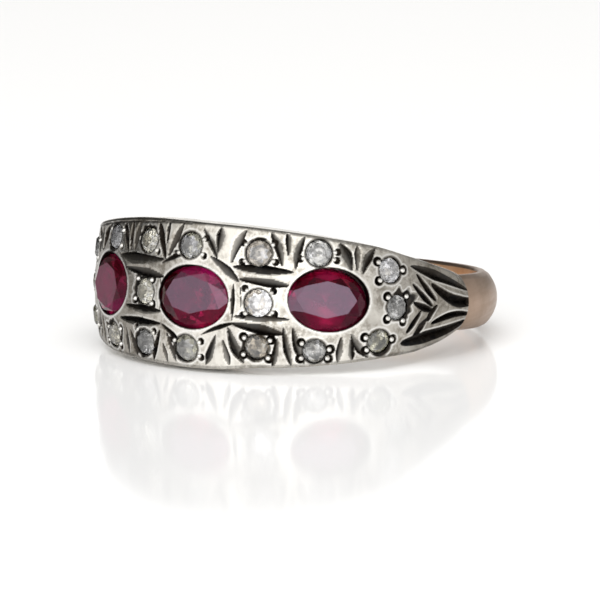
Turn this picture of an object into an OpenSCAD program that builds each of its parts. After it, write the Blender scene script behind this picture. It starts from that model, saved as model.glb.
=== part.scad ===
// A ring in two metals, lying on its side. The silver head carries three oval rubies and
// eighteen small diamonds, and the plain rose-gold shank closes the hoop behind it.
// Angles run round the finger from the middle of the head, positive to the right.
// Heights run along the finger from the middle of the band, positive upwards.

/* [Hoop] */
// Diameter of the finger hole
bore_d = 16.9; // [15:0.1:20]
// Thickness of the head at its front
front_t = 1.88; // [1.7:0.02:2.4]
// Thickness of the shank
shank_t = 1.02; // [0.9:0.02:1.3]
// Width of the head along the finger, at its front
front_w = 6.86; // [6.6:0.02:7.6]
// Width of the shank along the finger
shank_w = 2.68; // [2.2:0.02:3.2]
// Angle on each side where the silver meets the gold
head_end = 87; // [84:1:92]
// Angle where the head starts to grow thinner
taper_start = 50; // [42:1:52]
// Angle where the head is as thin as the shank
taper_end = 73; // [64:1:76]
// How far the dome of the head falls from its crest to its side edges
front_dome = 0.3; // [0.2:0.02:0.4]
// How far the dome of the shank falls
shank_dome = 0.6; // [0.3:0.02:0.7]
// Bevel along the outer edges
edge_bevel = 0.12; // [0.06:0.01:0.16]
// How far the upper edge of the head stands above its even shape
upper_rise = 0.08; // [0:0.01:0.15]
// How much higher it stands on the left
left_rise = 0.14; // [0:0.01:0.2]
// How far the upper edge falls towards the right end
right_fall = 0.12; // [0:0.01:0.15]
// How far the lower edge is lifted to the right of the middle
right_lift = 0.12; // [0:0.01:0.15]
// How far the lower edge hangs down towards both ends
end_drop = 0.08; // [0:0.01:0.12]
// Share of the dome that is missing at the upper left, where the head is flat
left_flat = 0.55; // [0:0.05:0.7]

/* [Rubies] */
// Length of a ruby, round the finger
ruby_l = 3.9; // [3.6:0.05:4.2]
// Width of a ruby, along the finger
ruby_w = 3.05; // [2.8:0.05:3.4]
// Height of its crown above the girdle
ruby_crown = 0.45; // [0.35:0.05:0.55]
// Depth of its pavilion below the girdle
ruby_pavilion = 1.05; // [0.8:0.05:1.1]
// Depth of the top of its girdle under the metal
ruby_sink = 0.3; // [0.26:0.02:0.34]
// Angle between neighbouring rubies
ruby_pitch = 36; // [34:0.5:38]

/* [Diamonds] */
// Diameter of the largest diamond
diamond_d = 1.3; // [1.1:0.05:1.35]
// Height of its crown above the girdle
diamond_crown = 0.2; // [0.15:0.05:0.25]
// Depth of its pavilion below the girdle
diamond_pavilion = 0.5; // [0.4:0.05:0.55]
// Depth of the top of its girdle under the metal
diamond_sink = 0.1; // [0.06:0.02:0.14]
// Diameter of the beads that hold it
bead_d = 0.27; // [0.2:0.01:0.28]

/* [Engraving] */
// Depth of the V cuts between the stones
cut_depth = 0.2; // [0.12:0.01:0.26]
// Depth of the leaf cuts on the shoulders
leaf_depth = 0.28; // [0.18:0.01:0.32]
// Depth of the finest lines
line_depth = 0.12; // [0.08:0.01:0.16]

/* [Hidden] */
bore_r = bore_d / 2;
// Room left between a stone and its seat
stone_gap = 0.03;
// How far a cutter reaches past the face that it cuts
over = 0.3;
// Power that shapes how the dome falls, and how the head narrows
dome_power = 2.2;
width_power = 0.88;

function smooth(u) = let (c = max(0, min(1, u))) c * c * (3 - 2 * c);
function swell(a) = abs(a) < head_end ? cos(90 * a / head_end) : 0;
function thickness(a) =
    shank_t + (front_t - shank_t) * smooth((taper_end - abs(a)) / (taper_end - taper_start));
function half_width(a) = (shank_w + (front_w - shank_w) * pow(swell(a), width_power)) / 2;
function dome(a) = shank_dome + (front_dome - shank_dome) * sqrt(swell(a));
// The head is handwork and isn't quite even: its two edges and its dome differ from the
// even shape. Each change is nothing at the first angle of its span and full at the
// second, and all of them fade out over the last stretch before the joint.
left_rise_span = [5, -25];
right_fall_span = [48, 62];
right_lift_span = [4, 18];
left_drop_span = [-20, -40];
right_drop_span = [52, 70];
left_flat_span = [-20, -50];
joint_stretch = 15;
function between(a, span) = smooth((a - span[0]) / (span[1] - span[0]));
function fade(a) = smooth((head_end - abs(a)) / joint_stretch);
function upper(a) = half_width(a) + fade(a) * (
    upper_rise + left_rise * between(a, left_rise_span) - right_fall * between(a, right_fall_span)
);
function lower(a) = let (dropped = between(a, left_drop_span) + between(a, right_drop_span))
    half_width(a) + fade(a) * (
        end_drop * dropped - right_lift * between(a, right_lift_span) * (1 - between(a, right_drop_span))
    );
function flatness(a, z) = z > 0 ? left_flat * between(a, left_flat_span) * fade(a) : 0;
// Distance from the finger's axis to the outer face, at angle a and height z
function surface_r(a, z) = let (share = min(1, abs(z) / (z > 0 ? upper(a) : lower(a))))
    bore_r + thickness(a) - dome(a) * (1 - flatness(a, z)) * pow(share, dome_power);
// How far the outer face leans there, round the finger and along it, from points a small
// step apart
function lean(a, z) = let (d = 0.5)
    -atan((surface_r(a + d, z) - surface_r(a - d, z)) / (surface_r(a, z) * 2 * d * PI / 180));
function rise(a, z) = let (d = 0.02) -atan((surface_r(a, z + d) - surface_r(a, z - d)) / (2 * d));

// The ring rests on the inner edge of the head's lower face and on the lower edge of the
// shank's back, so that its axis tips by this angle from upright
rest_tilt = atan((lower(0) - shank_w / 2) / (bore_d + shank_t - shank_dome - edge_bevel));

// Rubies: name, angle, height
rubies = [
    ["ruby_left", -ruby_pitch, 0.05],
    ["ruby_middle", -1, -0.1],
    ["ruby_right", ruby_pitch, 0.05],
];
// Diamonds: name, angle, height, size as a share of the largest, and the directions of
// the beads that hold it
diamonds = [
    ["diamond_left_end", -56, 0, 0.9, [40, 140, 220, 320]],
    ["diamond_left_end_upper", -52, 1.7, 0.9, [30, 180, 320]],
    ["diamond_left_end_lower", -52, -1.65, 0.9, [20, 170, 325]],
    ["diamond_left_ruby_upper", -34, 2.4, 0.9, [30, 150, 330]],
    ["diamond_left_ruby_lower", -33, -2.3, 0.9, [25, 155, 205, 325]],
    ["diamond_left_gap", -17.5, 0, 0.95, [50, 130, 210, 315]],
    ["diamond_left_gap_upper", -17.5, 2.45, 0.9, [325]],
    ["diamond_left_gap_lower", -17.5, -2.45, 0.95, [40, 130]],
    ["diamond_middle_upper", -2.5, 2.4, 0.95, [25, 210, 330]],
    ["diamond_middle_lower", -2.5, -2.5, 0.95, [25, 155, 335]],
    ["diamond_right_gap", 18, -0.1, 1, [40, 135, 220, 330]],
    ["diamond_right_gap_upper", 17.5, 2.25, 0.95, [35, 150, 210, 335]],
    ["diamond_right_gap_lower", 18, -2.2, 0.9, [30, 145, 210, 320]],
    ["diamond_right_ruby_upper", 33.5, 2.4, 0.95, [5, 200, 340]],
    ["diamond_right_ruby_lower", 33.5, -2.25, 0.85, [10, 150, 210, 335]],
    ["diamond_right_end", 56, -0.05, 0.9, [45, 140, 225, 300]],
    ["diamond_right_end_upper", 53.5, 1.7, 0.9, [0, 150, 220]],
    ["diamond_right_end_lower", 51, -1.7, 0.85, [10, 165, 215]],
];
function diamond_size(s) = diamond_d * s[3];
function bead_ring_r(s) = (diamond_size(s) + bead_d + stone_gap) / 2;

// V cuts on one shoulder, which the other repeats mirrored. Each runs from one point to
// another, is widest at the given share of its length and bows sideways in its middle:
// angle 1, height 1, angle 2, height 2, width, share, bow, depth
shoulder_cuts = [
    // Fans beside the outer ruby, at the upper and the lower edge
    [39, 2.9, 42.5, 1.65, 0.5, 0.45, 0.1, cut_depth],
    [44, 2.8, 44, 1.65, 0.3, 0.3, 0, cut_depth],
    [49, 2.7, 45.5, 1.5, 0.45, 0.4, -0.1, cut_depth],
    [40.5, -1.5, 40, -2.75, 0.35, 0.6, 0, cut_depth],
    [43, -1.6, 44, -2.6, 0.3, 0.7, 0, cut_depth],
    [43, -1.35, 48.5, -2.45, 0.4, 0.6, -0.1, cut_depth],
    // Chevrons
    [63.5, 1.5, 72, 0.2, 0.35, 0.6, -0.05, cut_depth],
    [61.5, 1.05, 70.5, -0.05, 0.35, 0.6, -0.05, cut_depth],
    [62, 0.15, 70.5, -0.25, 0.35, 0.6, -0.05, cut_depth],
    [72.5, 0, 68.5, -0.75, 0.35, 0.75, -0.05, cut_depth],
    [65.5, -0.25, 60, -1.3, 0.3, 0.6, 0, cut_depth],
    [68.5, -0.6, 62.5, -1.6, 0.45, 0.45, 0, cut_depth],
    // Deep leaves behind them
    [61, 1.9, 86.5, 0.7, 0.5, 0.4, 0.05, leaf_depth],
    [70, 1, 86.5, 0.25, 0.55, 0.6, -0.35, leaf_depth],
    [70.5, -0.9, 86.5, -0.55, 0.35, 0.4, 0.2, leaf_depth],
    [58.5, -1.8, 86.5, -0.9, 0.6, 0.35, -0.1, leaf_depth],
];
// Cuts between the rubies, with the same columns
middle_cuts = [
    // Fans at the upper edge, from left to right
    [-29.5, 3.15, -26, 1.8, 0.4, 0.35, 0, cut_depth],
    [-25.5, 3.25, -25, 1.8, 0.3, 0.35, 0, cut_depth],
    [-22, 3.3, -23, 1.85, 0.4, 0.4, 0, cut_depth],
    [-14, 3.3, -10.5, 1.65, 0.4, 0.3, 0, cut_depth],
    [-10.5, 3.4, -10.5, 2.4, 0.25, 0.3, 0, line_depth],
    [-5.5, 3.4, -9.5, 1.8, 0.4, 0.4, 0, cut_depth],
    [1, 3.25, 6, 1.9, 0.3, 0.5, 0.05, cut_depth],
    [6.5, 3.35, 6, 2.15, 0.3, 0.3, 0, cut_depth],
    [13.5, 3.3, 10, 1.7, 0.4, 0.4, -0.1, cut_depth],
    [20.5, 3.25, 24, 1.7, 0.4, 0.4, 0.1, cut_depth],
    [25, 3.3, 25.5, 2.2, 0.3, 0.3, 0, cut_depth],
    [29.5, 3.15, 27.5, 1.6, 0.35, 0.4, -0.1, cut_depth],
    // Fans at the lower edge
    [-27.5, -1.85, -30, -3.05, 0.25, 0.6, 0, line_depth],
    [-25.5, -1.85, -25, -3.1, 0.3, 0.6, 0, cut_depth],
    [-23.5, -1.95, -21, -3.1, 0.35, 0.6, 0, cut_depth],
    [-11.5, -1.75, -14.5, -3.25, 0.3, 0.65, 0, cut_depth],
    [-10.5, -2.35, -9, -3.25, 0.25, 0.6, 0, line_depth],
    [-9, -1.85, -6, -3.2, 0.3, 0.6, 0, cut_depth],
    [6.5, -1.75, 3.5, -3.2, 0.4, 0.7, 0, cut_depth],
    [8.5, -1.95, 10.5, -3.15, 0.3, 0.7, 0, cut_depth],
    [10, -1.35, 14.5, -3, 0.5, 0.6, -0.1, cut_depth],
    [23.5, -1.7, 22.5, -3.1, 0.3, 0.7, 0, cut_depth],
    [25, -1.2, 27.5, -3, 0.3, 0.6, -0.05, cut_depth],
    [27.5, -1.15, 31, -2.85, 0.35, 0.6, -0.1, cut_depth],
    // Long bars above and below the diamond between two rubies
    [-29.5, 1.6, -10.5, 1.6, 0.4, 0.35, 0, cut_depth],
    [-26.5, 1.05, -10.5, 0.8, 0.4, 0.6, 0, cut_depth],
    [-25.5, -0.75, -11, -0.85, 0.3, 0.55, 0, cut_depth],
    [-28.5, -1.4, -11, -1.45, 0.35, 0.5, 0, cut_depth],
    [10.5, 1.55, 27, 1.45, 0.45, 0.5, 0, cut_depth],
    [12.5, 1, 26, 0.8, 0.4, 0.6, 0, cut_depth],
    [11.5, -0.8, 26.5, -0.8, 0.35, 0.4, 0, cut_depth],
    [11, -1.15, 25, -1.5, 0.45, 0.6, 0, cut_depth],
    // Short cuts that frame the middle ruby
    [4, 1.95, 12.5, 0.85, 0.35, 0.6, 0.05, cut_depth],
    [11, 0.75, 11, -1, 0.25, 0.45, 0, line_depth],
    [2, -1.8, 12, -1.1, 0.25, 0.6, 0.05, line_depth],
    [-11, -1.45, -5.5, -2.05, 0.25, 0.75, 0, line_depth],
];

// Tips its children from the ring's own axis to the way the ring rests
module at_rest() {
    rotate([-rest_tilt, 0, 0]) children();
}

// Puts its children on the outer face at angle a and height z, with their Z axis
// pointing straight out of the metal and their X axis round the finger
module on_face(a, z) {
    r = surface_r(a, z);
    translate([r * sin(a), -r * cos(a), z])
        rotate([0, 0, a + lean(a, z)])
            rotate([90 - rise(a, z), 0, 0]) children();
}

// Outline of the band's section at angle a as [radius, height] points. The inner line
// sits at inner_r, and the dome has a point at each of the listed shares of its width.
dome_shares = [1, 0.8, 0.6, 0.4, 0.2, 0, -0.2, -0.4, -0.6, -0.8, -1];
function section(a, inner_r) = let (
    up = upper(a),
    low = lower(a)
) concat(
    [[inner_r, up], [surface_r(a, up) - edge_bevel, up]],
    [for (s = dome_shares) let (z = s * ((s > 0 ? up : low) - edge_bevel)) [surface_r(a, z), z]],
    [[surface_r(a, -low) - edge_bevel, -low], [inner_r, -low]]
);

module shank() {
    color("rosybrown") at_rest()
        rotate([0, 0, head_end - 90])
            rotate_extrude(angle = 360 - 2 * head_end, $fn = 180)
                polygon(section(head_end, bore_r));
}

// Closes a stack of outlines, each with n points, into faces from first to last. Seen from
// the last one, each outline runs anticlockwise.
function stack_faces(rows, n) = concat(
    [[for (j = [0:n - 1]) j]],
    [for (i = [0:rows - 2], j = [0:n - 1]) let (k = (j + 1) % n)
        for (t = [[i * n + j, (i + 1) * n + j, (i + 1) * n + k], [i * n + j, (i + 1) * n + k, i * n + k]]) t],
    [[for (j = [n - 1:-1:0]) (rows - 1) * n + j]]
);

// The head before anything is cut from it. It reaches inside the finger hole.
head_step = 3;
module head_blank() {
    angles = [for (a = [-head_end:head_step:head_end]) a];
    n = len(section(0, 1));
    points = [for (a = angles) for (p = section(a, bore_r - over)) [p[0] * sin(a), -p[0] * cos(a), p[1]]];
    polyhedron(points, stack_faces(len(angles), n));
}

// A graver's V cut from one point of the outer face to another, bowed sideways in its
// middle. It follows the dome, its keel is deepest where it is widest, and its upper rim
// stands clear of the metal.
cut_steps = [0, 0.25, 0.6, 1, 1.4, 1.75, 2];
cut_fullness = 0.6;
cut_end_share = 0.05;
module v_cut(c) {
    share = c[5];
    depth = c[7];
    r = surface_r((c[0] + c[2]) / 2, (c[1] + c[3]) / 2);
    run = [(c[2] - c[0]) * PI / 180 * r, c[3] - c[1]];
    side = [-run[1], run[0]] / norm(run);
    function at(t, off, h) = let (
        a = c[0] + (c[2] - c[0]) * t + side[0] * off / r * 180 / PI,
        z = c[1] + (c[3] - c[1]) * t + side[1] * off,
        q = surface_r(a, z) + h
    ) [q * sin(a), -q * cos(a), z];
    points = [for (k = cut_steps) let (
        t = k <= 1 ? k * share : share + (k - 1) * (1 - share),
        full = max(cut_end_share, pow(k <= 1 ? k : 2 - k, cut_fullness)),
        half = full * c[4] / 2 * (depth + over) / depth,
        bow = c[6] * sin(180 * t)
    ) for (p = [at(t, bow - half, over), at(t, bow, -depth * full), at(t, bow + half, over)]) p];
    polyhedron(points, stack_faces(len(cut_steps), 3));
}

// The same cut on both halves of the head
module v_cut_pair(c) {
    v_cut(c);
    v_cut([-c[0], c[1], -c[2], c[3], c[4], c[5], -c[6], c[7]]);
}

// Pocket for a ruby: it follows the pavilion, opens into a groove for the girdle, closes
// in to a lip that is pushed over the stone, and opens outwards in a bright bevel
ruby_girdle = 0.1;
seat_sides = 24;
seat_tip_share = 0.08;
lip_share = 0.95;
lip_rise = 0.1;
bevel_depth = 0.08;
bevel_flare = 0.12;
module ruby_seat() {
    grow = 1 + 2 * stone_gap / ruby_w;
    // Share of the stone's size and height of each ring of the pocket
    rings = [
        [seat_tip_share, -ruby_sink - ruby_girdle - ruby_pavilion - stone_gap],
        [grow, -ruby_sink - ruby_girdle - stone_gap],
        [grow, -ruby_sink + stone_gap],
        [lip_share, -ruby_sink + lip_rise],
        [lip_share, -bevel_depth],
        [lip_share + bevel_flare, bevel_flare],
        [lip_share + bevel_flare, over],
    ];
    points = [for (r = rings) for (j = [0:seat_sides - 1]) let (t = 360 * j / seat_sides)
        [r[0] * ruby_l / 2 * cos(t), r[0] * ruby_w / 2 * sin(t), r[1]]];
    polyhedron(points, stack_faces(len(rings), seat_sides));
}

// Drilled seat for a diamond: a cone for the pavilion under a round shelf
diamond_girdle = 0.05;
drill_tip_d = 0.1;
module diamond_seat(s) {
    seat_d = diamond_size(s) + 2 * stone_gap;
    shelf = diamond_sink + diamond_girdle + stone_gap;
    translate([0, 0, -shelf]) cylinder(d = seat_d, h = shelf + over, $fn = 32);
    translate([0, 0, -shelf - diamond_pavilion])
        cylinder(d1 = drill_tip_d, d2 = seat_d, h = diamond_pavilion, $fn = 32);
}

// The beads raised round the diamonds, half sunk in the metal
module beads() {
    for (s = diamonds, t = s[4])
        on_face(s[1], s[2]) rotate([0, 0, t]) translate([bead_ring_r(s), 0, 0]) sphere(d = bead_d, $fn = 14);
}

module head() {
    color("silver") at_rest() {
        beads();
        difference() {
            head_blank();
            cylinder(r = bore_r, h = 3 * front_w, center = true, $fn = 180);
            for (s = rubies) on_face(s[1], s[2]) ruby_seat();
            for (s = diamonds) on_face(s[1], s[2]) diamond_seat(s);
            for (c = shoulder_cuts) v_cut_pair(c);
            for (c = middle_cuts) v_cut(c);
        }
    }
}

// A round brilliant stretched to an oval: table, stars, kites and halves on the crown,
// mains and halves on the pavilion, and a girdle with 16 sides. The top of the girdle
// is at height 0.
table_share = 0.58;
star_share = 0.8;
lower_share = 0.22;
module brilliant(l, w, crown, girdle, pavilion) {
    star_h = crown * (1 - star_share * cos(22.5)) / (1 - table_share);
    lower_h = pavilion * (1 - lower_share * cos(22.5));
    function ring(n, turn, share, h) =
        [for (i = [0:n - 1]) let (t = turn + 360 * i / n) [share * l / 2 * cos(t), share * w / 2 * sin(t), h]];
    points = concat(
        ring(8, 0, table_share, crown),
        ring(8, 22.5, star_share, star_h),
        ring(16, 0, 1, 0),
        ring(16, 0, 1, -girdle),
        ring(8, 22.5, lower_share, -girdle - lower_h),
        [[0, 0, -girdle - pavilion]]
    );
    top = 0;
    star = 8;
    rim = 16;
    base = 32;
    low = 48;
    culet = 56;
    faces = concat(
        [[for (i = [7:-1:0]) top + i]],
        [for (i = [0:7]) let (j = (i + 1) % 8, h = (i + 7) % 8)
            for (f = [
                [top + i, top + j, star + i],
                [top + i, star + i, rim + 2 * i, star + h],
                [star + i, rim + 2 * i + 1, rim + 2 * i],
                [star + i, rim + 2 * j, rim + 2 * i + 1],
                [low + i, base + 2 * i, base + 2 * i + 1],
                [low + i, base + 2 * i + 1, base + 2 * j],
                [culet, low + h, base + 2 * i, low + i],
            ]) f],
        [for (i = [0:15]) let (j = (i + 1) % 16) [rim + i, rim + j, base + j, base + i]]
    );
    polyhedron(points, faces);
}

module ruby(s) {
    color("crimson") at_rest() on_face(s[1], s[2])
        translate([0, 0, -ruby_sink]) brilliant(ruby_l, ruby_w, ruby_crown, ruby_girdle, ruby_pavilion);
}

module diamond(s) {
    color("whitesmoke") at_rest() on_face(s[1], s[2])
        translate([0, 0, -diamond_sink])
            brilliant(diamond_size(s), diamond_size(s), diamond_crown, diamond_girdle, diamond_pavilion);
}

shank();
head();
for (s = rubies) ruby(s);
for (s = diamonds) diamond(s);
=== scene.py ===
import math

import bpy
import numpy as np
from mathutils import Matrix, Vector


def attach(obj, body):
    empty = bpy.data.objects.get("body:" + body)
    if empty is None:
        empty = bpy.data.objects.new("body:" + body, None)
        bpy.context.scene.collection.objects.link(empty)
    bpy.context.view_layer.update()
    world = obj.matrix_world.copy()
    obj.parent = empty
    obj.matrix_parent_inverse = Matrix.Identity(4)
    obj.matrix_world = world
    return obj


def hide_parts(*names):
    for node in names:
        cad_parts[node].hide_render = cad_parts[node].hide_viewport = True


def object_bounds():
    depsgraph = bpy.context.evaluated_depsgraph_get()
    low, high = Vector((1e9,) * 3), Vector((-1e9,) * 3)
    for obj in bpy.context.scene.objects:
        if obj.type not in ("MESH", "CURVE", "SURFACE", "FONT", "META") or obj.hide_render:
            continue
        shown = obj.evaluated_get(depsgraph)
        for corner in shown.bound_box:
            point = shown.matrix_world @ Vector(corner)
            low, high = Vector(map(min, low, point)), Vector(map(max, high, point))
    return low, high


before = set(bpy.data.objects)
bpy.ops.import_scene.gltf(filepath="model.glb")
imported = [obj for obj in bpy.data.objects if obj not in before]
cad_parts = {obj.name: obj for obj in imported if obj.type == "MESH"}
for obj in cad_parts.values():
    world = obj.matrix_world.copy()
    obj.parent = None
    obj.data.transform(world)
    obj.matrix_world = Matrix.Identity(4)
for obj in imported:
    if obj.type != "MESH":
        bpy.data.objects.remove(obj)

CAD_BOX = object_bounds()
MM = 0.001

# Hoop, as in the solids
BORE_R = 8.45
FRONT_T = 1.88
SHANK_T = 1.02
FRONT_W = 6.86
SHANK_W = 2.68
HEAD_END = 87.0
TAPER_START = 50.0
TAPER_END = 73.0
FRONT_DOME = 0.30
SHANK_DOME = 0.60
EDGE_BEVEL = 0.12
DOME_POWER = 2.2
WIDTH_POWER = 0.88
# How far the head's edges and dome differ from the even shape, and between which angles
UPPER_RISE = 0.08
LEFT_RISE = 0.14
RIGHT_FALL = 0.12
RIGHT_LIFT = 0.12
END_DROP = 0.08
LEFT_FLAT = 0.55
LEFT_RISE_SPAN = (5, -25)
RIGHT_FALL_SPAN = (48, 62)
RIGHT_LIFT_SPAN = (4, 18)
LEFT_DROP_SPAN = (-20, -40)
RIGHT_DROP_SPAN = (52, 70)
LEFT_FLAT_SPAN = (-20, -50)
JOINT_STRETCH = 15

# Stones, as in the solids
RUBY_L, RUBY_W = 3.9, 3.05
RUBY_PITCH = 36.0
DIAMOND_D = 1.3
# Heights of crown, girdle and pavilion, and how deep the top of the girdle lies
RUBY_DEPTHS, RUBY_SINK = (0.45, 0.1, 1.05), 0.3
DIAMOND_DEPTHS, DIAMOND_SINK = (0.2, 0.05, 0.5), 0.1
BEAD_D = 0.27
STONE_GAP = 0.03

# Tilt of the ring's axis as it rests on the head's lower rim and the shank's back
REST_TILT = math.degrees(
    math.atan((FRONT_W - SHANK_W) / 2 / (2 * BORE_R + SHANK_T - SHANK_DOME - EDGE_BEVEL))
)

# Camera, from the fit to the photograph
CAM_AZIMUTH = 30.4
CAM_ELEVATION = 9.9
CAM_ROLL = -0.8
CAM_DISTANCE = 260.0
PX_PER_MM = 20.38
PHOTO_PX = 600
CENTRE_PX = (304.1, 288.7)


def smooth(u):
    c = np.clip(u, 0.0, 1.0)
    return c * c * (3 - 2 * c)


def swell(a):
    return np.where(np.abs(a) < HEAD_END, np.cos(np.radians(90 * np.abs(a) / HEAD_END)), 0.0)


def thickness(a):
    grown = smooth((TAPER_END - np.abs(a)) / (TAPER_END - TAPER_START))
    return SHANK_T + (FRONT_T - SHANK_T) * grown


def half_width(a):
    return (SHANK_W + (FRONT_W - SHANK_W) * np.maximum(swell(a), 0.0) ** WIDTH_POWER) / 2


def dome(a):
    return SHANK_DOME + (FRONT_DOME - SHANK_DOME) * np.sqrt(np.maximum(swell(a), 0.0))


def between(a, span):
    return smooth((a - span[0]) / (span[1] - span[0]))


def fade(a):
    return smooth((HEAD_END - np.abs(a)) / JOINT_STRETCH)


def upper(a):
    changed = UPPER_RISE + LEFT_RISE * between(a, LEFT_RISE_SPAN)
    changed = changed - RIGHT_FALL * between(a, RIGHT_FALL_SPAN)
    return half_width(a) + fade(a) * changed


def line_height(a):
    """Height of the fine line engraved along the upper edge."""
    return half_width(a) - fade(a) * RIGHT_FALL * between(a, RIGHT_FALL_SPAN)


def lower(a):
    dropped = between(a, LEFT_DROP_SPAN) + between(a, RIGHT_DROP_SPAN)
    lifted = between(a, RIGHT_LIFT_SPAN) * (1 - between(a, RIGHT_DROP_SPAN))
    return half_width(a) + fade(a) * (END_DROP * dropped - RIGHT_LIFT * lifted)


def flatness(a, z):
    return np.where(z > 0, LEFT_FLAT * between(a, LEFT_FLAT_SPAN) * fade(a), 0.0)


def surface_r(a, z):
    """Distance from the finger's axis to the uncut outer face."""
    share = np.minimum(1.0, np.abs(z) / np.where(z > 0, upper(a), lower(a)))
    return BORE_R + thickness(a) - dome(a) * (1 - flatness(a, z)) * share**DOME_POWER


def lean(a, z, step=0.5):
    """Angle by which the face leans there round the finger, over a step in degrees."""
    fall = surface_r(a + step, z) - surface_r(a - step, z)
    return -math.degrees(math.atan(fall / (surface_r(a, z) * math.radians(2 * step))))


def rise(a, z, step=0.02):
    """Angle by which it leans along the finger, over a step in millimetres."""
    fall = surface_r(a, z + step) - surface_r(a, z - step)
    return -math.degrees(math.atan(fall / (2 * step)))


AT_REST = Matrix.Rotation(math.radians(-REST_TILT), 4, "X")


def on_face(a, z):
    """Frame on the outer face: Z straight out of the metal and X round the finger."""
    r = float(surface_r(a, z))
    place = Matrix.Translation((r * math.sin(math.radians(a)), -r * math.cos(math.radians(a)), z))
    turn = Matrix.Rotation(math.radians(a + lean(a, z)), 4, "Z")
    return AT_REST @ place @ turn @ Matrix.Rotation(math.radians(90 - rise(a, z)), 4, "X")


def ring_points(a, r, z):
    """Points at angle a, radius r and height z, at rest and in metres."""
    t = np.radians(a)
    x = r * np.sin(t)
    y = -r * np.cos(t)
    c, s = math.cos(math.radians(REST_TILT)), math.sin(math.radians(REST_TILT))
    return np.stack([x, y * c + z * s, -y * s + z * c], -1) * MM


# Rubies: name, angle, height, how far right and up of it its seat was cut, which leaves a
# dark gap there, and its table: length and width as shares of the stone's, and how far up it
# lies as a share of the stone's half width, because the old stones were cut unevenly
RUBIES = [
    ("ruby_left", -RUBY_PITCH, 0.05, (-0.02, 0.06), (0.72, 0.7, 0)),
    ("ruby_middle", -1, -0.1, (-0.01, 0.06), (0.7, 0.6, 0.12)),
    ("ruby_right", RUBY_PITCH, 0.05, (0.12, 0.17), (0.74, 0.58, 0.12)),
]
# Diamonds: name without its "diamond_", angle, height, size as a share of the largest, and
# the directions of the beads that hold it, anticlockwise from the right
DIAMONDS = [
    ("left_end", -56, 0, 0.9, (40, 140, 220, 320)),
    ("left_end_upper", -52, 1.7, 0.9, (30, 180, 320)),
    ("left_end_lower", -52, -1.65, 0.9, (20, 170, 325)),
    ("left_ruby_upper", -34, 2.4, 0.9, (30, 150, 330)),
    ("left_ruby_lower", -33, -2.3, 0.9, (25, 155, 205, 325)),
    ("left_gap", -17.5, 0, 0.95, (50, 130, 210, 315)),
    ("left_gap_upper", -17.5, 2.45, 0.9, (325,)),
    ("left_gap_lower", -17.5, -2.45, 0.95, (40, 130)),
    ("middle_upper", -2.5, 2.4, 0.95, (25, 210, 330)),
    ("middle_lower", -2.5, -2.5, 0.95, (25, 155, 335)),
    ("right_gap", 18, -0.1, 1, (40, 135, 220, 330)),
    ("right_gap_upper", 17.5, 2.25, 0.95, (35, 150, 210, 335)),
    ("right_gap_lower", 18, -2.2, 0.9, (30, 145, 210, 320)),
    ("right_ruby_upper", 33.5, 2.4, 0.95, (5, 200, 340)),
    ("right_ruby_lower", 33.5, -2.25, 0.85, (10, 150, 210, 335)),
    ("right_end", 56, -0.05, 0.9, (45, 140, 225, 300)),
    ("right_end_upper", 53.5, 1.7, 0.9, (0, 150, 220)),
    ("right_end_lower", 51, -1.7, 0.85, (10, 165, 215)),
]
# Stones whose beads still stand up round. Those of the others are rubbed flat, and only a
# black dot is left beside each
ROUND_BEADS = (
    "left_gap",
    "right_gap_lower",
    "right_ruby_lower",
    "right_end",
    "right_end_upper",
    "right_end_lower",
)

# Graver's cuts on one shoulder, mirrored to the other. Each runs from one point to
# another: angle 1, height 1, angle 2, height 2, width, share of its length where it is
# widest, bow, depth, where its keel lies across it from -1 to 1, and how far the black,
# part oxide and part painted shade, spreads over its gentle side from 0 to 1. Seen along
# the cut, a keel above zero lies to the left and makes that side steep.
SHOULDER_CUTS = [
    # Fans beside the outer ruby, at the upper and the lower edge
    (39, 2.9, 42.5, 1.65, 0.54, 0.45, 0.1, 0.2, 0.4, 0.65),
    (44, 2.8, 44, 1.65, 0.34, 0.3, 0, 0.16, -0.6, 0.6),
    (49, 2.7, 45.5, 1.5, 0.46, 0.4, -0.1, 0.18, 0.4, 0.7),
    (40.5, -1.5, 40, -2.75, 0.36, 0.6, 0, 0.18, -0.4, 0.6),
    (43, -1.6, 44, -2.6, 0.34, 0.7, 0, 0.16, 0.5, 0.5),
    (43, -1.35, 48.5, -2.45, 0.44, 0.6, -0.1, 0.18, -0.5, 0.5),
    # Chevrons
    (63.5, 1.5, 72, 0.2, 0.36, 0.6, -0.05, 0.22, 0, 1),
    (61.5, 1.05, 70.5, -0.05, 0.34, 0.6, -0.05, 0.22, 0, 1),
    (62, 0.15, 70.5, -0.25, 0.4, 0.6, -0.05, 0.2, 0, 1),
    (72.5, 0, 68.5, -0.75, 0.34, 0.75, -0.05, 0.18, 0, 0.95),
    (65.5, -0.25, 60, -1.3, 0.34, 0.6, 0, 0.18, 0, 1),
    (68.5, -0.6, 62.5, -1.6, 0.46, 0.45, 0, 0.18, 0.2, 0.85),
    # Deep leaves behind them
    (61, 1.9, 87.5, 0.65, 0.56, 0.4, 0.05, 0.3, -0.35, 0.9),
    (70, 1, 90, 0.1, 0.62, 0.6, -0.35, 0.32, 0, 1),
    (70.5, -0.9, 88.5, -0.5, 0.36, 0.4, 0.2, 0.26, 0, 1),
    (58.5, -1.8, 87.5, -0.85, 0.66, 0.35, -0.1, 0.32, 0, 1),
]
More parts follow.
